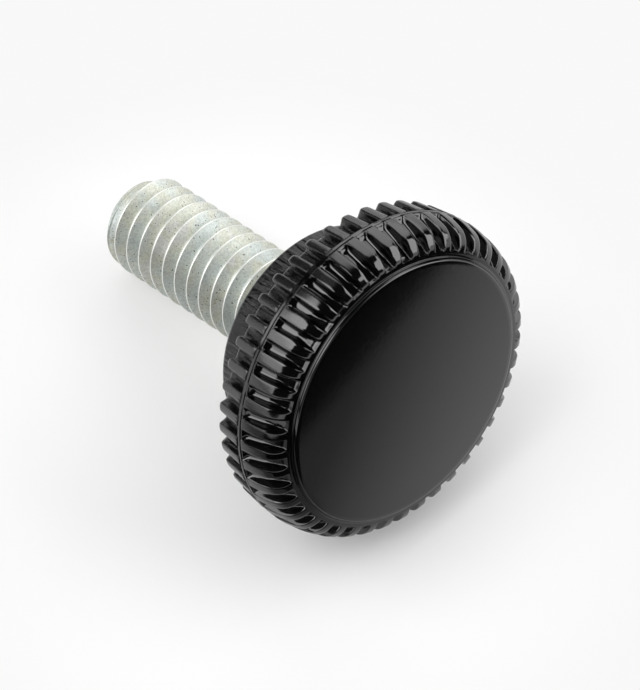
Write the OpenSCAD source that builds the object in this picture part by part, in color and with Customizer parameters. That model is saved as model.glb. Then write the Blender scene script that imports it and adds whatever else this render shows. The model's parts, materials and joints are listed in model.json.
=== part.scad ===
// Knurled clamping knob: a moulded head with a ribbed rim, on a threaded stud moulded into it.
// Sizes are in millimetres. The knob's own axis runs from its face (0) back to the stud's tip,
// and laid_down() sets it as it comes to rest, on its rim and the stud's tip.

/* [Head] */
// Diameter over the ribs
rim_d = 26; // [20:0.1:40]
// Diameter of the flat face
face_d = 21.4; // [16:0.1:34]
// How far the face stands out of the shoulder
face_step = 0.3; // [0.1:0.05:0.6]
// Rounding of the face's edge
face_edge_r = 0.15; // [0.05:0.05:0.25]
// Width of the narrow land round the face
face_land = 0.35; // [0.05:0.05:0.5]
// Distance from the face to the mould's parting plane
front_depth = 3.7; // [3:0.1:6]
// Radius of the shoulder's tight curve beside the face
nose_r = 1.7; // [1:0.1:1.8]
// Distance from the parting plane to the back of the rim
rear_depth = 2.75; // [2:0.05:5]
// Draft of the rim behind the parting plane, in degrees
rear_draft = 7; // [2:0.5:12]
// Rounding of the rim's back edge
rear_edge_r = 0.5; // [0.2:0.05:0.8]

/* [Ribs] */
// Number of ribs
rib_count = 44; // [24:2:60]
// Depth of the grooves, square to the surface
groove_depth = 0.55; // [0.3:0.05:0.9]
// Width of a groove at the rim, as a share of the ribs' pitch
groove_mouth_share = 0.58; // [0.45:0.01:0.7]
// Width of a groove at its end beside the face, as a share of the ribs' pitch
groove_end_share = 0.36; // [0.15:0.01:0.45]
// Distance from the face's edge to the end of a front groove
groove_end_gap = 0.55; // [0.2:0.05:1]

/* [Parting band] */
// Width of the plain band between the two sets of grooves
band_w = 0.5; // [0.3:0.05:1]
// How far the band lies below the ribs' tops
band_drop = 0.12; // [0.05:0.01:0.3]
// Width of the moulding line along the band's middle
flash_w = 0.14; // [0.08:0.01:0.3]
// Height of the moulding line above the band
flash_h = 0.08; // [0.02:0.01:0.2]

/* [Collar] */
// Diameter of the smooth collar behind the rim
collar_d = 17.4; // [15:0.1:22]
// Length of the collar
collar_len = 4.25; // [2:0.05:8]
// Rounding of the collar's edge
collar_edge_r = 0.3; // [0.1:0.05:1]

/* [Stud] */
// Outside diameter of the thread, for a 5/16-18 thread
thread_d = 7.85; // [5:0.01:10]
// Pitch of the thread, 18 turns to the inch
thread_pitch = 1.411; // [0.5:0.001:2.5]
// Length of stud behind the collar
stud_len = 20.3; // [10:0.1:40]
// Length of the chamfer at the tip
tip_chamfer = 1.1; // [0.5:0.1:2]
// Diameter of the tip's flat end
tip_d = 5.6; // [3:0.1:6]
// Width across the flats of the hexagon held in the moulding
anchor_flats = 12.7; // [10:0.1:14]
// Thickness of the hexagon
anchor_h = 5.2; // [3:0.1:6]
// Thickness of moulding between the face and the hexagon
face_wall = 2.2; // [1.5:0.1:3]

/* [Hidden] */
$fn = 96;
over = 1;          // how far a cutter runs past what it cuts
hex_sides = 6;
full_turn = 360;
quarter_turn = 90;
nose_limit_share = 0.92;       // most of the shoulder's width that its tight curve takes
groove_end_limit_share = 0.3;  // most of the shoulder's width left plain beside the face
mid_flank_share = 0.6495;      // a rolled thread's blank is this share of the pitch under its crests

rim_r = rim_d / 2;
face_r = face_d / 2;
collar_r = collar_d / 2;
thread_r = thread_d / 2;
tip_r = tip_d / 2;
shank_r = thread_r - mid_flank_share * thread_pitch / 2;
rear_z = front_depth + rear_depth;
collar_z = rear_z + collar_len;
tip_z = collar_z + stud_len;
run_out_z = collar_z - (thread_r - shank_r);   // the thread runs out over a cone of half a right angle
anchor_r = anchor_flats / (2 * cos(full_turn / (2 * hex_sides)));

// The shoulder is two arcs that run into each other: a tight one beside the face and a wide
// one that reaches the parting plane square to it.
shoulder_r0 = face_r + face_land;
shoulder_len = front_depth - face_step;
shoulder_rise = rim_r - shoulder_r0;
nose_fit_r = min(nose_r, nose_limit_share * shoulder_rise);
flank_r = (pow(shoulder_len, 2) - 2 * shoulder_len * nose_fit_r + pow(shoulder_rise, 2))
          / (2 * (shoulder_rise - nose_fit_r));
nose_z = face_step + nose_fit_r;
flank_r0 = rim_r - flank_r;
join_angle = atan2(front_depth - nose_z, shoulder_r0 - flank_r0);

// Centre of the rounding of the rim's back edge, which touches the drafted side and the back.
edge_z = rear_z - rear_edge_r;
edge_r0 = rim_r - (edge_z - front_depth) * tan(rear_draft) - rear_edge_r / cos(rear_draft);

// Grooves: they narrow from the rim towards their ends beside the face
pitch = PI * rim_d / rib_count;
mouth_w = pitch * groove_mouth_share;
end_w = pitch * groove_end_share;
groove_end_r = face_r + min(groove_end_gap, groove_end_limit_share * (rim_r - face_r));
rear_floor_r = rim_r - groove_depth / cos(rear_draft);
tail_r = groove_end_r * cos(full_turn / (2 * rib_count));
star_r0 = min(tail_r, rear_floor_r - rear_depth * tan(rear_draft)) - over;

// The knob lies on its rim's back edge and on the outer edge of the tip's chamfer.
rest_z = tip_z - tip_chamfer;
rest_across = edge_r0 - thread_r;
rest_along = rest_z - edge_z;
lie_angle = atan2(rest_across, rest_along)
            + asin(rear_edge_r / sqrt(pow(rest_across, 2) + pow(rest_along, 2)));
lie_height = rest_z * sin(lie_angle) + thread_r * cos(lie_angle);
face_reach = (face_r - face_edge_r) * sin(lie_angle) - face_edge_r * cos(lie_angle) + face_edge_r;
tip_reach = tip_r * sin(lie_angle) + tip_z * cos(lie_angle);
lie_shift = (tip_reach - face_reach) / 2;

// From the knob's own axis to the resting place: the middle of the box on the ground.
module laid_down() {
    translate([lie_shift, 0, lie_height])
        rotate([0, -(quarter_turn + lie_angle), 0])
            children();
}

// The raised face with its rounded edge
module face_section() {
    square([face_r - face_edge_r, front_depth]);
    translate([0, face_edge_r]) square([face_r, front_depth - face_edge_r]);
    translate([face_r - face_edge_r, face_edge_r]) circle(face_edge_r);
}

// The shoulder from the face's land to the parting plane, or the same form set in by a groove's depth
module shoulder_section(inset = 0) {
    translate([0, face_step + inset]) square([shoulder_r0, shoulder_len - inset]);
    if (nose_fit_r > inset) translate([shoulder_r0, nose_z]) circle(nose_fit_r - inset);
    intersection() {
        translate([flank_r0, front_depth]) circle(flank_r - inset);
        polygon([[shoulder_r0, nose_z], [shoulder_r0, front_depth], [rim_r + over, front_depth],
                 [rim_r + over, front_depth - (rim_r + over - flank_r0) * tan(join_angle)]]);
    }
}

// The rim behind the parting plane, and the collar
module rear_section() {
    polygon([[0, front_depth], [rim_r, front_depth],
             [edge_r0 + rear_edge_r * cos(rear_draft), edge_z + rear_edge_r * sin(rear_draft)],
             [edge_r0, edge_z], [0, edge_z]]);
    translate([0, edge_z]) square([edge_r0, rear_edge_r]);
    translate([edge_r0, edge_z]) circle(rear_edge_r);
    translate([0, edge_z]) square([collar_r, collar_z - collar_edge_r - edge_z]);
    translate([0, edge_z]) square([collar_r - collar_edge_r, collar_z - edge_z]);
    translate([collar_r - collar_edge_r, collar_z - collar_edge_r]) circle(collar_edge_r);
}

// The whole head before its grooves, with the band left low and the moulding line on it
module turned_head() {
    rotate_extrude() {
        difference() {
            union() {
                face_section();
                shoulder_section();
                rear_section();
            }
            translate([rim_r - band_drop, front_depth - band_w / 2]) square([band_drop + over, band_w]);
        }
        translate([rim_r - band_drop - flash_h, front_depth - flash_w / 2]) square([2 * flash_h, flash_w]);
    }
}

// All the grooves seen along the axis, set so that the knob lies steadily on two ribs
module groove_star() {
    for (k = [0 : rib_count - 1]) rotate(k * full_turn / rib_count)
        polygon([[star_r0, -end_w / 2], [tail_r, -end_w / 2],
                 [rim_r, -mouth_w / 2], [rim_r + over, -mouth_w / 2],
                 [rim_r + over, mouth_w / 2], [rim_r, mouth_w / 2],
                 [tail_r, end_w / 2], [star_r0, end_w / 2]]);
}

// What the grooves take, seen from the side. In front of the band their floor follows the
// shoulder, from a wall at the band to a short wall beside the face. Behind it they follow
// the drafted side and run out at the back.
module groove_reach() {
    difference() {
        translate([groove_end_r, 0]) square([rim_r + over - groove_end_r, front_depth - band_w / 2]);
        shoulder_section(groove_depth);
    }
    rear_start = front_depth + band_w / 2;
    polygon([[rear_floor_r - (band_w / 2) * tan(rear_draft), rear_start], [rim_r + over, rear_start],
             [rim_r + over, rear_z + over],
             [rear_floor_r - (rear_depth + over) * tan(rear_draft), rear_z + over]]);
}

module grooves() {
    intersection() {
        linear_extrude(height = rear_z + over) groove_star();
        rotate_extrude() groove_reach();
    }
}

// The stud's whole form, which the head is moulded round: a hexagon and the thread's blank inside
// the head, and outside it the thread's outside form with its tip
module stud_form() {
    translate([0, 0, face_wall]) cylinder(h = anchor_h, r = anchor_r, $fn = hex_sides);
    rotate_extrude()
        polygon([[0, face_wall], [shank_r, face_wall], [shank_r, run_out_z], [thread_r, collar_z],
                 [thread_r, rest_z], [tip_r, tip_z], [0, tip_z]]);
}

// The moulded head
module knob_head() {
    color([0.05, 0.05, 0.055]) laid_down() difference() {
        turned_head();
        grooves();
        stud_form();
    }
}

// The plated stud
module threaded_stud() {
    color([0.8, 0.81, 0.78]) laid_down() stud_form();
}

knob_head();
threaded_stud();
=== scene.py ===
# %% [markdown]
# # A knurled clamping knob
#
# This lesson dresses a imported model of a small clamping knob: a black moulded head with a ribbed
# rim, and a zinc-plated stud with a screw thread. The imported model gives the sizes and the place.
# Here the head gets the fine form of its ribs and grooves, the stud gets a real thread, and both
# get their finish.

# %% Load the frame
import json
from math import asin, atan2, cos, degrees, pi, radians, sin, sqrt, tan

import bmesh
import bpy
from mathutils import Matrix, Vector


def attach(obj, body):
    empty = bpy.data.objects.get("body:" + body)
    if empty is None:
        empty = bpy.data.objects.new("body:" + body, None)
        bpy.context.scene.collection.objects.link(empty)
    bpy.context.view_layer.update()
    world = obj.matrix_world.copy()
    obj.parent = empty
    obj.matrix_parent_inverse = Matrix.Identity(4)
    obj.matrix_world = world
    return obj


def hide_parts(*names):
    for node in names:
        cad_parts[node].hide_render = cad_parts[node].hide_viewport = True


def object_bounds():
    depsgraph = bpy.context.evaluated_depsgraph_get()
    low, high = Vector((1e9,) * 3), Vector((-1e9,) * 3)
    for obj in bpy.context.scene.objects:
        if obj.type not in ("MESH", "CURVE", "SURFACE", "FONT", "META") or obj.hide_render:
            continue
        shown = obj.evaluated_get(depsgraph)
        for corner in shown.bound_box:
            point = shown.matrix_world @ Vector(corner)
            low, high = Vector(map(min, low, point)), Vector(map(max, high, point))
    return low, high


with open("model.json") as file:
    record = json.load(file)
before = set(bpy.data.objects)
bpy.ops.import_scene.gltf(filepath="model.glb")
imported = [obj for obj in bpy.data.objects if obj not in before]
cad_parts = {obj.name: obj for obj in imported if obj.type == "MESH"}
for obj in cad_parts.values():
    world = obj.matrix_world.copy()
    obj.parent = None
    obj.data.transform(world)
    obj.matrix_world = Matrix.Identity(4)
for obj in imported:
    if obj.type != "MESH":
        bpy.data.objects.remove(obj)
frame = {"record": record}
cad_low, cad_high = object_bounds()
print("CAD box in mm:", [round(1000 * (b - a), 2) for a, b in zip(cad_low, cad_high)])

# %% [markdown]
# ## The knob's own axis
#
# Everything on the knob is turned or repeated round one axis, from the flat face to the stud's tip.
# It is much easier to model along Z in millimetres and to lay the finished piece down once, with one
# matrix. The frame's two mounts give that matrix: the stud's mount lies on the axis and gives its
# direction, and the seat lies on the back of the collar.

# %% Find the axis and the place of the face
MM = 0.001
mounts = {mount["name"]: mount for mount in frame["record"]["mounts"]}
axis = Vector(mounts["stud"]["axis"]).normalized()
on_axis = Vector(mounts["stud"]["pos_m"])
seat = Vector(mounts["seat"]["pos_m"])

collar_end = 10.7      # back of the collar, behind the face
face_centre = on_axis + axis * ((seat - on_axis).dot(axis) - collar_end * MM)
sideways = Vector((0, 1, 0))
upwards = sideways.cross(axis)
lay_down = (Matrix.Translation(face_centre)
            @ Matrix((upwards, sideways, axis)).transposed().to_4x4()
            @ Matrix.Scale(MM, 4))
print("face centre in mm:", [round(c / MM, 3) for c in face_centre])
print("axis leans down by", round(degrees(asin(-axis.z)), 2), "degrees")

# %% [markdown]
# ## The outline of the head
#
# The head is a moulding that was turned in the mould maker's lathe before its grooves were cut, so
# its outline is a short chain of arcs and straight lines. Each point on an arc is found from the way
# the surface leans there: 0 degrees looks out of the face, 90 looks straight outwards and 180 looks
# back along the stud. With that one angle, a groove's floor is the same arc with a smaller radius.

# %% Arcs by their lean
def on_arc(centre, radius, lean):
    """(distance from the axis, distance behind the face) on an arc, where its surface has that lean."""
    return (centre[0] + radius * sin(radians(lean)), centre[1] - radius * cos(radians(lean)))


def spread(start, end, steps):
    """Evenly spread values, both ends included."""
    return [start + (end - start) * k / steps for k in range(steps + 1)]


def arc(centre, radius, start, end, steps):
    return [on_arc(centre, radius, lean) for lean in spread(start, end, steps)]


# %% Sizes of the shoulder in millimetres
face_r = 10.7          # edge of the flat face
face_edge_r = 0.12     # its rounding
rim_r = 13.0           # over the ribs
parting_z = 3.7        # where the two halves of the mould met
nose_r = 1.7           # the tight curve beside the face
nose_centre = (11.05, 2.0)
flank_r = 7.605        # the wide curve that reaches the parting line
flank_centre = (rim_r - flank_r, parting_z)
join_lean = 90 - degrees(atan2(parting_z - nose_centre[1], nose_centre[0] - flank_centre[0]))


def on_shoulder(lean, inset=0):
    if lean < join_lean:
        return on_arc(nose_centre, nose_r - inset, lean)
    return on_arc(flank_centre, flank_r - inset, lean)


print("the two curves join where the surface leans", round(join_lean, 2), "degrees")

# %% [markdown]
# ## Rows: where a rib's top and a groove's floor lie
#
# The rim is made as rows that run round the knob and columns that run from the face to the back.
# Each row is kept as two points: where it lies on a rib's top and where it lies on a groove's floor.
# On the plain parts both are the same point. A front groove starts beside the face with a low wall.
# Its floor falls away in two straight slopes, so that it gets deeper towards the parting band, and
# ends there in a rounded pocket. Behind the band the grooves run out at the back.

# %% Rows of the face's edge
rows = []


def plain_rows(points):
    rows.extend((point, point) for point in points)


flat_ring = 0.4                    # keeps the edge's rounding from bending the face's shading
foot_lean = 0.015                  # how far the face's edge leans out at its foot
ledge_r, ledge_z = 10.86, 0.15     # fine ledge round the face
ledge_edge = [(-0.05, 0), (-0.012, 0.015), (0, 0.05)]      # its rounded edge, from its corner
land_z = nose_centre[1] - nose_r   # land between the ledge and the ribs
ledge_foot = [(0.01, -0.02), (0.05, 0)]                    # where the ledge meets the land
plain_rows([(face_r - flat_ring, 0)])
plain_rows(arc((face_r - face_edge_r, face_edge_r), face_edge_r, 0, 90, 3))
plain_rows([(face_r + foot_lean, ledge_z)])
plain_rows([(ledge_r + out, ledge_z + back) for out, back in ledge_edge])
plain_rows([(ledge_r + out, land_z + back) for out, back in ledge_foot])
plain_rows([on_shoulder(lean) for lean in (0, 3)])
print(len(rows), "rows on the face's edge")

# %% Rows of the front grooves
front_end_r = 11.25    # groove's end beside the face, on the rib's top
band_half = 0.25       # half the width of the plain band at the parting line


def lean_over(point):
    """Lean of the shoulder where a line square to it passes through that point below it."""
    lean = degrees(atan2(point[0] - nose_centre[0], nose_centre[1] - point[1]))
    if lean > join_lean:
        lean = degrees(atan2(point[0] - flank_centre[0], flank_centre[1] - point[1]))
    return lean


def slope_line(start, end, steps):
    return list(zip(spread(start[0], end[0], steps), spread(start[1], end[1], steps)))


# a groove's floor from its end to the band, in mm from the axis and behind the face
end_wall = [(11.262, 0.38), (11.275, 0.53), (11.3, 0.63)]
front_slope = slope_line((11.36, 0.71), (12.06, 1.97), 10)
rear_slope = slope_line((12.13, 2.17), (12.4, 3.01), 4)
pocket = [(12.44, 3.12), (12.51, 3.23), (12.61, 3.33), (12.74, 3.4), (12.83, 3.435)]
groove_floor = end_wall + front_slope + rear_slope + pocket
plain_rows([on_shoulder(degrees(asin((front_end_r - nose_centre[0]) / nose_r)))])
first_front_row = len(rows)
rows += [(on_shoulder(lean_over(point)), point) for point in groove_floor]
rubbed_from = 70       # lean at which the ribs' rubbed tops begin, in degrees
first_rubbed_row = first_front_row + sum(lean_over(point) < rubbed_from for point in groove_floor)
print(len(rows) - first_front_row, "rows along the front grooves")

# %% Rows of the parting band
band_r = 12.88         # plain band, a little below the ribs
line_r = 12.955        # moulding line along its middle
line_half = 0.07
line_slope = 0.035     # how far the line's sides lean over
corner = 0.03          # rounding of the ribs' ends beside the band
front_end = parting_z - band_half
both_sides = (-1, 1)
rows.append(((rim_r - corner, front_end + corner / 2), (band_r - corner, front_end + corner / 6)))
for side in both_sides:
    across = [(band_r, band_half - corner), (band_r, line_half + line_slope), (line_r, line_half)]
    plain_rows([(r, parting_z + side * z) for r, z in (across if side < 0 else reversed(across))])
print("rows so far", len(rows))

# %% Rows of the rear grooves and the back edge
rear_z = 6.45
rear_draft = 7         # degrees
edge_r = 0.42          # rounding of the ribs' back ends
groove_depth = 0.7
saddle_r = 0.35        # rounding where a groove runs out at the back
draft_cos = cos(radians(rear_draft))


def on_side(z, inset=0):
    """Point on the drafted side, or that far inside it."""
    return (rim_r - (z - parting_z) * tan(radians(rear_draft)) - inset, z)


edge_z = rear_z - edge_r
edge_centre = on_side(edge_z, edge_r / draft_cos)
saddle_centre = on_side(rear_z - saddle_r, groove_depth + saddle_r / draft_cos)
rear_start = parting_z + band_half
first_rear_row = len(rows)
rows.append(((rim_r - 2 * corner, rear_start - corner / 3), (band_r - corner, rear_start - corner / 6)))
wall_lean = 0.02       # how far the groove's wall at the band leans over
before_ends = 0.1      # last straight row's distance from the rounded ends
side_zs = spread(rear_start + wall_lean, edge_z - before_ends, 6)
rows += [(on_side(z), on_side(z + wall_lean, groove_depth)) for z in side_zs]
end_leans = spread(90 + rear_draft, 180, 8)
rows += [(on_arc(edge_centre, edge_r, lean), on_arc(saddle_centre, saddle_r, lean)) for lean in end_leans]
last_groove_row = len(rows)
print("rows to the back of the ribs", len(rows))

# %% Rows of the back, the collar and the bore for the stud
collar_r = 8.7
collar_edge_r = 0.3
root_r = 0.2           # small fillet where the collar leaves the back
bore_r = 3.0
bore_z = 9.8
root_centre = (collar_r + root_r, rear_z + root_r)
back_radii = (saddle_centre[0] - 0.1, collar_r + 1.2)      # two rows on the flat back
end_radii = (collar_r - 1, bore_r + 1, bore_r)             # three on the collar's flat end
plain_rows([(radius, rear_z) for radius in back_radii])
plain_rows([(root_centre[0] - root_r * sin(radians(a)), root_centre[1] - root_r * cos(radians(a)))
            for a in spread(0, 90, 3)])
first_collar_row = len(rows) - 1
plain_rows([(collar_r, z) for z in spread(rear_z + 2 * root_r, collar_end - collar_edge_r - root_r, 3)])
last_collar_row = len(rows)
plain_rows(arc((collar_r - collar_edge_r, collar_end - collar_edge_r), collar_edge_r, 90, 180, 4))
plain_rows([(radius, collar_end) for radius in end_radii] + [(bore_r, bore_z)])
print(len(rows), "rows from the face to the bore")

# %% [markdown]
# ## One pitch of the rim
#
# The ribs repeat 44 times, so one pitch is modelled and then copied round. Spin turns the outline
# through small angles and leaves a column at each: they are close together where the groove's walls
# bend and far apart where the surface is plain. Then the columns over the groove are pressed in, each
# by its own share, which gives the walls their slope and the corners their rounding.

# %% Spin the outline through one pitch
rib_count = 44
pitch = 360 / rib_count
# degrees from the groove's middle, and how far the column is pressed in there: in a hollow groove,
# and at its square end beside the face
press_table = [(0, 1, 1), (0.65, 1, 1), (1, 0.97, 1), (1.35, 0.89, 0.99), (1.65, 0.75, 0.96),
               (1.9, 0.52, 0.84), (2.08, 0.26, 0.5), (2.2, 0.1, 0.2), (2.34, 0.02, 0.04),
               (2.55, 0, 0), (3.3, 0, 0)]
press_at = {round(side * angle, 4): shares for side in both_sides for angle, *shares in press_table}
column_angles = sorted({side * line[0] for side in both_sides for line in press_table}
                       | {side * pitch / 2 for side in both_sides})


def turn_round(bm, verts, angle):
    """Turns vertices round the axis by that many degrees."""
    bmesh.ops.rotate(bm, verts=verts, cent=(0, 0, 0), matrix=Matrix.Rotation(radians(angle), 3, "Z"))


head = bmesh.new()
row_of = head.verts.layers.int.new("row")
rubbed_of = head.verts.layers.float.new("rubbed")
grainy_of = head.verts.layers.float.new("grainy")
outline = [head.verts.new((top[0], 0, top[1])) for top, floor in rows]
for number, vert in enumerate(outline):
    vert[row_of] = number
column = outline + [head.edges.new(pair) for pair in zip(outline, outline[1:])]
turn_round(head, outline, column_angles[0])
columns = [(column_angles[0], outline)]
for before, angle in zip(column_angles, column_angles[1:]):
    spun = bmesh.ops.spin(head, geom=column, cent=(0, 0, 0), axis=(0, 0, 1), dvec=(0, 0, 0),
                          angle=radians(angle - before), steps=1)
    column = spun["geom_last"]
    columns.append((angle, [item for item in column if isinstance(item, bmesh.types.BMVert)]))
print(len(columns), "columns in one pitch,", len(head.faces), "faces")

# %% Press the groove in
square_until, hollow_from = 30, 75     # leans between which a front groove changes its form
rear_crown = 0.06      # how far the rear ribs' sides fall below their middle, as a share of the depth
rib_half = 2           # degrees from a rear rib's middle to its side
end_flare = 0.5        # how much wider the grooves get where the ribs' back ends round off
flare_start, flare_end = 5.75, 6.34    # mm behind the face
back_grain = 0.25      # how grainy the flat back is, beside the collar's side and the rear grooves


def press_share(number, angle):
    """How far a column is pressed in at that row."""
    hollow, square = press_at.get(round(angle, 4), (0, 0))
    if number < first_rear_row:
        lean = lean_over(rows[number][1])
        squareness = min(1, max(0, (hollow_from - lean) / (hollow_from - square_until)))
        return hollow + (square - hollow) * squareness
    off_middle = min(1, (pitch / 2 - abs(angle)) / rib_half)
    return square + (1 - square) * rear_crown * off_middle ** 2


def graininess(number, on_top):
    """0 for the mould's gloss, 1 for the streaked collar and the rear grooves."""
    if first_collar_row <= number <= last_collar_row:
        return 1
    if number >= last_groove_row:
        return back_grain
    return 1 if number >= first_rear_row and not on_top else 0


def flare(number, angle):
    """Degrees by which a column is turned away from the groove's middle in that row."""
    if not first_rear_row <= number < last_groove_row:
        return 0
    along = min(1, max(0, (rows[number][0][1] - flare_start) / (flare_end - flare_start)))
    return angle * 2 * end_flare * (1 - sqrt(1 - along ** 2)) * (1 - abs(angle) / (pitch / 2))


for angle, verts in columns:
    on_top = press_at.get(round(angle, 4), (0, 0))[0] == 0
    for vert in verts:
        number = vert[row_of]
        top, floor = rows[number]
        share = press_share(number, angle)
        vert[rubbed_of] = 1 if on_top and first_rubbed_row <= number < last_groove_row else 0
        vert[grainy_of] = graininess(number, on_top)
        bmesh.ops.translate(head, verts=[vert], space=Matrix.Rotation(radians(-angle), 4, "Z"),
                            vec=(share * (floor[0] - top[0]), 0, share * (floor[1] - top[1])))
        turn_round(head, [vert], flare(number, angle))
print("pressed one groove", groove_depth, "mm deep")

# %% [markdown]
# ## The whole head
#
# Spin can also copy: with use_duplicate it lays finished copies of the pitch round the axis. The
# seams between them are merged, the face and the bottom of the bore are closed, and the normals are
# turned outwards. Two attributes stay on the mesh, to tell the rubbed tops and the grainy back from
# the glossy grooves.

# %% Repeat the pitch and close the head
touching = 0.0005      # mm between vertices that are merged


def open_loop(bm, height):
    """Boundary edges of a bmesh at that height."""
    return [edge for edge in bm.edges if edge.is_boundary
            and all(abs(vert.co.z - height) < 2 * touching for vert in edge.verts)]


def laid_object(bm, name, sharp_over):
    """Lays a finished bmesh down in the frame and makes it an object with smooth shading."""
    open_edges = sum(edge.is_boundary or not edge.is_manifold for edge in bm.edges)
    bmesh.ops.recalc_face_normals(bm, faces=bm.faces[:])
    bmesh.ops.transform(bm, matrix=lay_down, verts=bm.verts[:])
    for face in bm.faces:
        face.smooth = True
    mesh = bpy.data.meshes.new(name)
    bm.to_mesh(mesh)
    bm.free()
    mesh.set_sharp_from_angle(angle=radians(sharp_over))
    piece = bpy.data.objects.new(name, mesh)
    bpy.context.scene.collection.objects.link(piece)
    mesh.calc_loop_triangles()
    print(name, "has", len(mesh.loop_triangles), "triangles and", open_edges, "open or doubled edges")
    return piece


bmesh.ops.spin(head, geom=head.verts[:] + head.edges[:] + head.faces[:], cent=(0, 0, 0), axis=(0, 0, 1),
               dvec=(0, 0, 0), angle=radians(pitch * (rib_count - 1)), steps=rib_count - 1,
               use_duplicate=True)
bmesh.ops.remove_doubles(head, verts=head.verts[:], dist=touching)
for height in (0, bore_z):
    bmesh.ops.contextual_create(head, geom=open_loop(head, height))
knob_head = laid_object(head, "knurled_head", sharp_over=40)

# %% [markdown]
# ## The thread on the stud
#
# A rolled thread is one ridge that climbs a pitch with each turn. A profile of one pitch is spun with
# an offset along the axis at each step, so that the end of one turn meets the start of the next, and
# the seam is merged. Crests and roots are rounded a little, as rolling leaves them. The tip's chamfer
# was on the blank before the thread was rolled, so points outside its cone are drawn in to it.

# %% Spin the thread
thread_r = 3.925
thread_pitch = 1.411
thread_depth = 0.6 * thread_pitch
tip_z = 31.0
chamfer_len = 1.1
tip_r = 2.8
crest_half = 0.04 * thread_pitch
root_half = 0.07 * thread_pitch
root_rises = (0.015, 0.09)     # the root's rounding, in mm above it
crest_drops = (0.03, 0.007)    # the crest's rounding, in mm below it
turn_steps = 60
turns = 18
turns_past_tip = 1.22          # sets where round the tip the crest runs out
root_radius = thread_r - thread_depth
crest_z = thread_pitch / 2
half_profile = [(0, root_radius), (root_half, root_radius + root_rises[0]),
                (1.7 * root_half, root_radius + root_rises[1]),
                (crest_z - 1.3 * crest_half, thread_r - crest_drops[0]),
                (crest_z - 0.8 * crest_half, thread_r - crest_drops[1]), (crest_z, thread_r)]
whole_profile = half_profile + [(thread_pitch - z, r) for z, r in reversed(half_profile[:-1])]

thread_start = tip_z + (turns_past_tip - turns) * thread_pitch
stud = bmesh.new()
burnish_and_highlight_of = stud.verts.layers.float.new("burnish_and_highlight")
profile = [stud.verts.new((r, 0, thread_start - thread_pitch + z)) for z, r in whole_profile]
# crest points: rubbed smooth, and painted lighter there as a highlight
for vert in profile:
    vert[burnish_and_highlight_of] = 1 if vert.co.x > thread_r - crest_drops[0] / 2 else 0
ridge = profile + [stud.edges.new(pair) for pair in zip(profile, profile[1:])]
bmesh.ops.spin(stud, geom=ridge, cent=(0, 0, 0), axis=(0, 0, 1), dvec=(0, 0, thread_pitch / turn_steps),
               angle=turns * 2 * pi, steps=turns * turn_steps)
bmesh.ops.remove_doubles(stud, verts=stud.verts[:], dist=touching)
print("thread of", turns, "turns spun from", round(thread_start, 2), "mm behind the face")

# %% Chamfer the tip and close both ends
chamfer_slope = (thread_r - tip_r) / chamfer_len
plain_len, fade_len = 0.55, 1.3    # the chamfer is plain at first, then the thread's root sinks in
rounded_len, rounded_drop = 1.7, 0.2   # its outer edge is worn round
for vert in stud.verts:
    behind = tip_z - vert.co.z
    outside = tip_r + behind * chamfer_slope
    outside = min(outside, thread_r - rounded_drop * min(1, max(0, 1 - behind / rounded_len)) ** 1.5)
    sunk = min(1, max(0, (behind - plain_len) / fade_len))
    inside = min(outside, tip_r + plain_len * chamfer_slope) * (1 - sunk) + root_radius * sunk
    radius = vert.co.xy.length
    vert.co.xy *= min(outside, max(inside, radius)) / radius
    if behind < plain_len:
        vert[burnish_and_highlight_of] = 0     # no crest is left there
stud_start = bore_z + 0.1      # just clear of the bore's bottom
end_ring = 0.2         # flat ring inside the tip's edge, which keeps the end's shading flat
for height, keep_above in ((stud_start, True), (tip_z, False)):
    bmesh.ops.bisect_plane(stud, geom=stud.verts[:] + stud.edges[:] + stud.faces[:],
                           plane_co=(0, 0, height), plane_no=(0, 0, 1),
                           clear_inner=keep_above, clear_outer=not keep_above)
    closed = bmesh.ops.contextual_create(stud, geom=open_loop(stud, height))
bmesh.ops.inset_region(stud, faces=closed["faces"], thickness=end_ring, use_even_offset=True)
threaded_stud = laid_object(stud, "plated_thread", sharp_over=42)

# %% Tie both pieces to the frame
ties = [(knob_head, "knob_head", "black_moulding"), (threaded_stud, "threaded_stud", "zinc_plated_steel")]
for piece, node, slot in ties:
    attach(piece, "root")
    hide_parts(node)
    print(piece.name, "takes the place of", node)

# %% [markdown]
# ## The black moulding
#
# The head is a hard black moulding compound. In the grooves and on the face it keeps the mould's
# gloss. The ribs' tops were rubbed dull when the flash was tumbled off, so they scatter the light and
# look greyer. Behind the parting line the mould was coarser: the rear grooves and the collar have
# fine streaks along the axis and mirror less. One material does it all: it follows the mesh's two
# attributes, with a little noise so that no surface is a perfect mirror.

# %% Helpers for materials
def new_finish(name):
    finish = bpy.data.materials.new(name)
    finish.use_nodes = True
    return finish, finish.node_tree, finish.node_tree.nodes["Principled BSDF"]


def add_node(tree, kind, **settings):
    """Adds a node. Settings that name an input set its value, the others set the node itself."""
    node = tree.nodes.new(kind)
    for name, value in settings.items():
        if hasattr(node, name):
            setattr(node, name, value)
        else:
            node.inputs[name.replace("_", " ")].default_value = value
    return node


def blend_numbers(tree, share, low, high):
    """Map Range from 0..1 to low..high."""
    node = add_node(tree, "ShaderNodeMapRange")
    node.inputs["To Min"].default_value = low
    node.inputs["To Max"].default_value = high
    tree.links.new(share, node.inputs["Value"])
    return node.outputs["Result"]


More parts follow.
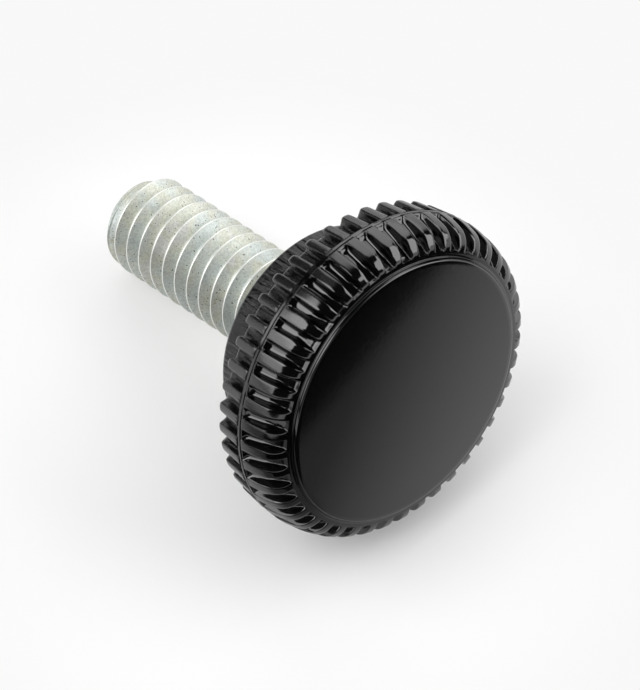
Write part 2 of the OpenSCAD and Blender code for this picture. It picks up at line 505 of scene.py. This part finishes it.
# %% Black moulding
black, tree, shader = new_finish("black moulding")
place = add_node(tree, "ShaderNodeTexCoord").outputs["Object"]
rubbed = add_node(tree, "ShaderNodeAttribute", attribute_name="rubbed").outputs["Fac"]
grainy = add_node(tree, "ShaderNodeAttribute", attribute_name="grainy").outputs["Fac"]
tone = add_node(tree, "ShaderNodeMix", data_type="RGBA")
tone.inputs["A"].default_value = (0.002, 0.002, 0.002, 1)
tone.inputs["B"].default_value = (0.006, 0.006, 0.006, 1)
tree.links.new(rubbed, tone.inputs["Factor"])
tree.links.new(tone.outputs["Result"], shader.inputs["Base Color"])
gloss_ior, grainy_ior = 1.8, 1.5
tree.links.new(blend_numbers(tree, grainy, gloss_ior, grainy_ior), shader.inputs["IOR"])

# fine grain all over, and streaks along the axis behind the parting line
grain = add_node(tree, "ShaderNodeTexNoise", Scale=3200.0, Detail=3.0)
tree.links.new(place, grain.inputs["Vector"])
along_axis = add_node(tree, "ShaderNodeMapping", vector_type="TEXTURE")
along_axis.inputs["Rotation"].default_value = lay_down.to_euler()
streak_length = 9      # times its width
along_axis.inputs["Scale"].default_value = (1, 1, streak_length)
tree.links.new(place, along_axis.inputs["Vector"])
streaks = add_node(tree, "ShaderNodeTexNoise", Scale=2200.0, Detail=4.0)
tree.links.new(along_axis.outputs["Vector"], streaks.inputs["Vector"])

base_roughness = blend_numbers(tree, rubbed, 0.1, 0.23)
grain_part = blend_numbers(tree, grain.outputs["Fac"], -0.05, 0.05)
grainy_part = blend_numbers(tree, grainy, 0, 0.1)
for part in (grain_part, grainy_part):
    roughness = add_node(tree, "ShaderNodeMath", operation="ADD")
    tree.links.new(base_roughness, roughness.inputs[0])
    tree.links.new(part, roughness.inputs[1])
    base_roughness = roughness.outputs[0]
tree.links.new(base_roughness, shader.inputs["Roughness"])
grain_bump = add_node(tree, "ShaderNodeBump", Strength=0.06, Distance=0.00002)
tree.links.new(grain.outputs["Fac"], grain_bump.inputs["Height"])
streak_bump = add_node(tree, "ShaderNodeBump", Distance=0.0003)
tree.links.new(blend_numbers(tree, grainy, 0, 0.9), streak_bump.inputs["Strength"])
tree.links.new(streaks.outputs["Fac"], streak_bump.inputs["Height"])
tree.links.new(grain_bump.outputs["Normal"], streak_bump.inputs["Normal"])
tree.links.new(streak_bump.outputs["Normal"], shader.inputs["Normal"])
knob_head.data.materials.append(black)
print("black moulding: rubbed tops, glossy grooves, streaked collar")

# %% [markdown]
# ## The zinc plating
#
# The stud is steel with a thin bright zinc coat. It isn't polished: the plating is fine-grained, so
# it reflects softly, with faint patches of green, yellow and blue where the clear passivation is
# thicker, dark specks and a few brown spots. Noise of several sizes gives the patches and the specks.
# The thread's crests were rubbed smoother, and an attribute on the mesh says where they are. Their
# lighter colour is partly that burnish and partly a painted highlight along the crests.

# %% Zinc plating
zinc, tree, shader = new_finish("zinc plating")
shader.inputs["Metallic"].default_value = 1.0
place = add_node(tree, "ShaderNodeTexCoord").outputs["Object"]


def noise_at(scale, detail=2.0):
    node = add_node(tree, "ShaderNodeTexNoise", Scale=scale, Detail=detail)
    tree.links.new(place, node.inputs["Vector"])
    return node.outputs["Fac"]


def ramp(value, stops):
    """Colour Ramp over the given (place, colour) stops."""
    node = add_node(tree, "ShaderNodeValToRGB")
    band = node.color_ramp
    while len(band.elements) < len(stops):
        band.elements.new(0.5)
    for element, (at, colour) in zip(band.elements, stops):
        element.position = at
        element.color = (*colour, 1)
    tree.links.new(value, node.inputs["Fac"])
    return node.outputs["Color"]


def mix_colours(factor, a, b):
    node = add_node(tree, "ShaderNodeMix", data_type="RGBA")
    for socket, value in ((node.inputs["Factor"], factor), (node.inputs["A"], a), (node.inputs["B"], b)):
        if isinstance(value, bpy.types.NodeSocket):
            tree.links.new(value, socket)
        else:
            socket.default_value = value
    return node.outputs["Result"]


tint = ramp(noise_at(420, 3), [(0.36, (0.58, 0.62, 0.6)), (0.46, (0.61, 0.635, 0.59)),
                               (0.56, (0.61, 0.62, 0.54)), (0.66, (0.64, 0.645, 0.62))])
grain_tone = ramp(noise_at(5200, 4), [(0.35, (0.82, 0.82, 0.82)), (0.65, (1.1, 1.1, 1.1))])
grained = add_node(tree, "ShaderNodeMix", data_type="RGBA", blend_type="MULTIPLY")
grained.inputs["Factor"].default_value = 1.0
tree.links.new(tint, grained.inputs["A"])
tree.links.new(grain_tone, grained.inputs["B"])
speck_share = add_node(tree, "ShaderNodeMapRange", From_Min=0.665, From_Max=0.72)
tree.links.new(noise_at(5200, 1), speck_share.inputs["Value"])
speckled = mix_colours(speck_share.outputs["Result"], grained.outputs["Result"], (0.16, 0.16, 0.15, 1))
rust_share = add_node(tree, "ShaderNodeMapRange", From_Min=0.7, From_Max=0.78)
tree.links.new(noise_at(800, 3), rust_share.inputs["Value"])
dull_colour = mix_colours(rust_share.outputs["Result"], speckled, (0.36, 0.31, 0.16, 1))
burnish_and_highlight = add_node(tree, "ShaderNodeAttribute", attribute_name="burnish_and_highlight").outputs["Fac"]
# crests: partly burnished, and painted lighter as a highlight along them
tree.links.new(mix_colours(burnish_and_highlight, dull_colour, (0.84, 0.85, 0.82, 1)), shader.inputs["Base Color"])

dull_roughness = blend_numbers(tree, noise_at(900, 4), 0.48, 0.72)
roughness = add_node(tree, "ShaderNodeMix", data_type="FLOAT")
tree.links.new(burnish_and_highlight, roughness.inputs["Factor"])
tree.links.new(dull_roughness, roughness.inputs["A"])
roughness.inputs["B"].default_value = 0.36
tree.links.new(roughness.outputs["Result"], shader.inputs["Roughness"])

# fine bump of the plating, and turned rings on the tip's chamfer
from_face = add_node(tree, "ShaderNodeMapping", vector_type="TEXTURE")
from_face.inputs["Location"].default_value = face_centre
from_face.inputs["Rotation"].default_value = lay_down.to_euler()
tree.links.new(place, from_face.inputs["Vector"])
behind_face = add_node(tree, "ShaderNodeSeparateXYZ")
tree.links.new(from_face.outputs["Vector"], behind_face.inputs["Vector"])
ring_pitch = 0.26      # mm
ring_phase = add_node(tree, "ShaderNodeMath", operation="MULTIPLY")
ring_phase.inputs[1].default_value = 2 * pi / (ring_pitch * MM)
tree.links.new(behind_face.outputs["Z"], ring_phase.inputs[0])
rings = add_node(tree, "ShaderNodeMath", operation="SINE")
tree.links.new(ring_phase.outputs[0], rings.inputs[0])
ring_start, ring_full = tip_z - 1.2, tip_z - 0.8   # mm behind the face: where the rings fade in
ring_share = add_node(tree, "ShaderNodeMapRange", From_Min=ring_start * MM, From_Max=ring_full * MM,
                      To_Max=0.8)
tree.links.new(behind_face.outputs["Z"], ring_share.inputs["Value"])
plating_bump = add_node(tree, "ShaderNodeBump", Strength=0.3, Distance=0.00004)
tree.links.new(noise_at(2400, 5), plating_bump.inputs["Height"])
ring_bump = add_node(tree, "ShaderNodeBump", Distance=0.00003)
tree.links.new(ring_share.outputs["Result"], ring_bump.inputs["Strength"])
tree.links.new(rings.outputs[0], ring_bump.inputs["Height"])
tree.links.new(plating_bump.outputs["Normal"], ring_bump.inputs["Normal"])
tree.links.new(ring_bump.outputs["Normal"], shader.inputs["Normal"])
threaded_stud.data.materials.append(zinc)
print("zinc plating: four tints, specks, a few brown spots and bright crests")

# %% [markdown]
# ## Floor and light
#
# The knob lies on a plain white sheet. Soft panels light it from the left, from the right and from
# behind the stud, and the side of the camera is dark. Black gloss shows little but what it mirrors,
# so the panels stand where the ribs and grooves mirror them. One more panel overhead is linked to
# the sheet and the stud only: it whitens them and puts no spots on the black. Far from the knob,
# where no shadow falls, the sheet shows plain white to the camera and in reflections. The flat face
# mirrors one patch of the floor, so a card lies there that only reflections see. Past a line it is
# black, for a dark card further out on the floor. Before the line it fades in, and that fade is
# painted shade of the floor, seen only in the face's reflection.

# %% White sheet
def stage_object(bm, name):
    """Makes an object that isn't part of the knob."""
    mesh = bpy.data.meshes.new(name)
    bm.to_mesh(mesh)
    bm.free()
    prop = bpy.data.objects.new(name, mesh)
    bpy.context.scene.collection.objects.link(prop)
    return prop


sheet_r = 1.2          # metres
sheet_rise = 0.16      # height to which its far edge is swept up
sheet = bmesh.new()
bmesh.ops.create_circle(sheet, cap_ends=True, segments=96, radius=sheet_r)
swept = bmesh.ops.extrude_edge_only(sheet, edges=[edge for edge in sheet.edges if edge.is_boundary])["geom"]
far_edge = [item for item in swept if isinstance(item, bmesh.types.BMVert)]
bmesh.ops.translate(sheet, verts=far_edge, vec=(0, 0, sheet_rise))
bmesh.ops.translate(sheet, verts=sheet.verts[:], vec=(0, 0, cad_low.z))
white_sheet = stage_object(sheet, "white_sheet")
print("white sheet", 2 * sheet_r, "m across")

# %% White paper
paper_white = 0.94
lit_centre = Vector((4, -4.5, 0)) * MM     # in front of the knob, where its shadow falls
near_r, far_r = 0.012, 0.034   # metres from there: lit paper inside, plain white outside
near_share = 0.17      # share of plain white near the knob, which keeps its shadow light
paper, tree, shader = new_finish("white paper")
shader.inputs["Base Color"].default_value = (0.87, 0.87, 0.87, 1)
shader.inputs["Roughness"].default_value = 0.9
shader.inputs["Specular IOR Level"].default_value = 0.0
place = add_node(tree, "ShaderNodeTexCoord").outputs["Object"]
distance = add_node(tree, "ShaderNodeVectorMath", operation="DISTANCE")
distance.inputs[1].default_value = lit_centre
tree.links.new(place, distance.inputs[0])
far_share = add_node(tree, "ShaderNodeMapRange", interpolation_type="SMOOTHSTEP",
                     From_Min=near_r, From_Max=far_r, To_Min=near_share)
tree.links.new(distance.outputs["Value"], far_share.inputs["Value"])
rays = add_node(tree, "ShaderNodeLightPath").outputs
shown = add_node(tree, "ShaderNodeMath", operation="MAXIMUM")
tree.links.new(rays["Is Camera Ray"], shown.inputs[0])
tree.links.new(rays["Is Glossy Ray"], shown.inputs[1])
shown_too = add_node(tree, "ShaderNodeMath", operation="MAXIMUM")
tree.links.new(shown.outputs[0], shown_too.inputs[0])
tree.links.new(rays["Is Transmission Ray"], shown_too.inputs[1])
white_share = add_node(tree, "ShaderNodeMath", operation="MULTIPLY")
tree.links.new(far_share.outputs["Result"], white_share.inputs[0])
tree.links.new(shown_too.outputs[0], white_share.inputs[1])
plain_white = add_node(tree, "ShaderNodeEmission", Strength=paper_white)
mixed = add_node(tree, "ShaderNodeMixShader")
tree.links.new(white_share.outputs[0], mixed.inputs["Fac"])
tree.links.new(shader.outputs["BSDF"], mixed.inputs[1])
tree.links.new(plain_white.outputs["Emission"], mixed.inputs[2])
tree.links.new(mixed.outputs["Shader"], tree.nodes["Material Output"].inputs["Surface"])
white_sheet.data.materials.append(paper)
print("paper: lit within", near_r, "m, plain white past", far_r, "m")

# %% Panels and the dark room
def towards(azimuth, elevation):
    """Direction from the knob, in degrees round from +X and up from the floor."""
    azimuth, elevation = radians(azimuth), radians(elevation)
    return Vector((cos(azimuth) * cos(elevation), sin(azimuth) * cos(elevation), sin(elevation)))


panel_distance = 0.6   # metres


def soft_panel(name, azimuth, elevation, wide, high, radiance):
    """An area lamp that looks at the knob. wide and high are the angles it covers, in degrees."""
    lamp = bpy.data.lights.new(name, "AREA")
    lamp.shape = "RECTANGLE"
    lamp.size = 2 * panel_distance * tan(radians(wide / 2))
    lamp.size_y = 2 * panel_distance * tan(radians(high / 2))
    lamp.energy = radiance * pi * lamp.size * lamp.size_y
    panel = bpy.data.objects.new(name, lamp)
    away = towards(azimuth, elevation)
    panel.location = away * panel_distance
    panel.rotation_euler = away.to_track_quat("Z", "Y").to_euler()
    bpy.context.scene.collection.objects.link(panel)
    return panel


soft_panel("left panel, upper half", azimuth=-122, elevation=54, wide=42, high=30, radiance=3.2)
soft_panel("left panel, lower half", azimuth=-122, elevation=27, wide=64, high=24, radiance=2.0)
soft_panel("right panel", azimuth=57, elevation=33, wide=54, high=46, radiance=2.8)
soft_panel("back panel", azimuth=133, elevation=34, wide=48, high=48, radiance=1.6)
overhead = soft_panel("overhead panel", azimuth=140, elevation=82, wide=60, high=60, radiance=0.8)
lit_from_overhead = bpy.data.collections.new("lit from overhead")
for lit in (white_sheet, threaded_stud):
    lit_from_overhead.objects.link(lit)
overhead.light_linking.receiver_collection = lit_from_overhead     # so it leaves the black gloss alone
world = bpy.data.worlds.new("dark room")
world.use_nodes = True
room = world.node_tree.nodes["Background"]
room.inputs["Color"].default_value = (1, 1, 1, 1)
room.inputs["Strength"].default_value = 0.015
bpy.context.scene.world = world
print("panels", panel_distance, "m from the knob")

# %% Card that the face mirrors: black, with painted shade of the floor before it
# two points on the line where the card turns black, on the floor
card_edge = [Vector((42.9, 5.6, 0)) * MM, Vector((49.9, 23.8, 0)) * MM]
card_soft = 0.9 * MM   # half the width of that line
# the fade before the line is painted shade of the floor, which only reflections see
fade_start = Vector((9.9, -7.5, 0)) * MM    # where the card starts to fade in
fade_turn = radians(-37)
shade_fade, shade_fade_top = 16 * MM, 0.83    # how far it fades in before the line, and how dark it gets
card_size, card_back = 0.36, 0.1   # metres, and how much of it lies before the line
card_lift = 0.2 * MM   # above the sheet
along = (card_edge[1] - card_edge[0]).normalized()
card_turn = atan2(along.y, along.x) - pi / 2
card_middle = (card_edge[0] + card_edge[1]) / 2
card = bmesh.new()
bmesh.ops.create_grid(card, x_segments=1, y_segments=1, size=card_size / 2)
bmesh.ops.translate(card, verts=card.verts[:], vec=(card_size / 2 - card_back, 0, 0))
bmesh.ops.rotate(card, verts=card.verts[:], cent=(0, 0, 0), matrix=Matrix.Rotation(card_turn, 3, "Z"))
bmesh.ops.translate(card, verts=card.verts[:], vec=card_middle + Vector((0, 0, cad_low.z + card_lift)))
dark_and_shade_card = stage_object(card, "dark_and_shade_card")
dark_and_shade_card.visible_camera = dark_and_shade_card.visible_diffuse = dark_and_shade_card.visible_shadow = False

card_finish, tree, shader = new_finish("dark and shade card")
shader.inputs["Base Color"].default_value = (0.004, 0.004, 0.004, 1)
shader.inputs["Roughness"].default_value = 1.0
shader.inputs["Specular IOR Level"].default_value = 0.0
place = add_node(tree, "ShaderNodeTexCoord").outputs["Object"]


def past_line(start, turn):
    """Distance past a line through start, square to the direction that turn gives."""
    mapping = add_node(tree, "ShaderNodeMapping", vector_type="TEXTURE")
    mapping.inputs["Location"].default_value = start
    mapping.inputs["Rotation"].default_value = (0, 0, turn)
    tree.links.new(place, mapping.inputs["Vector"])
    parts = add_node(tree, "ShaderNodeSeparateXYZ")
    tree.links.new(mapping.outputs["Vector"], parts.inputs["Vector"])
    return parts.outputs["X"]


black_side = add_node(tree, "ShaderNodeMapRange", interpolation_type="SMOOTHSTEP",
                      From_Min=-card_soft, From_Max=card_soft)
tree.links.new(past_line(card_middle, card_turn), black_side.inputs["Value"])
# painted shade: the card darkens towards the line, as the floor's shade does in the face's reflection
fade = add_node(tree, "ShaderNodeMapRange", From_Max=shade_fade, To_Max=shade_fade_top)
tree.links.new(past_line(fade_start, fade_turn), fade.inputs["Value"])
cover = add_node(tree, "ShaderNodeMath", operation="MAXIMUM")
tree.links.new(black_side.outputs["Result"], cover.inputs[0])
tree.links.new(fade.outputs["Result"], cover.inputs[1])
tree.links.new(cover.outputs[0], shader.inputs["Alpha"])
dark_and_shade_card.data.materials.append(card_finish)
print("dark and shade card", card_size, "m wide, seen by reflections only")

# %% [markdown]
# ## The camera
#
# The photograph was taken from well above with a long lens, over the face's edge and along the stud,
# and the camera was held a few degrees off level. The face's centre lies right of the middle of the
# picture and a little below it, so the camera is placed by where that centre should appear.

# %% Camera
view_azimuth, view_elevation, view_roll = -47.73, 59.3, 5.44   # degrees
view_depth = 428.0     # mm from the camera to the face's centre, along the view
centre_right, centre_down = 6.291, 3.461   # the face's centre from the picture's middle, in mm
look = -towards(view_azimuth, view_elevation)
level = towards(view_azimuth + 90, 0)
right = Matrix.Rotation(-radians(view_roll), 3, look) @ level
over = right.cross(look)
lens = bpy.data.cameras.new("camera")
lens.sensor_width = 36
lens.lens = 303.9
camera = bpy.data.objects.new("camera", lens)
camera.location = face_centre + MM * (over * centre_down - right * centre_right - look * view_depth)
camera.rotation_euler = Matrix((right, over, -look)).transposed().to_euler()
bpy.context.scene.collection.objects.link(camera)
bpy.context.scene.camera = camera
bpy.context.scene.view_settings.view_transform = "Standard"
print("camera", round(camera.location.z / MM), "mm above the floor")
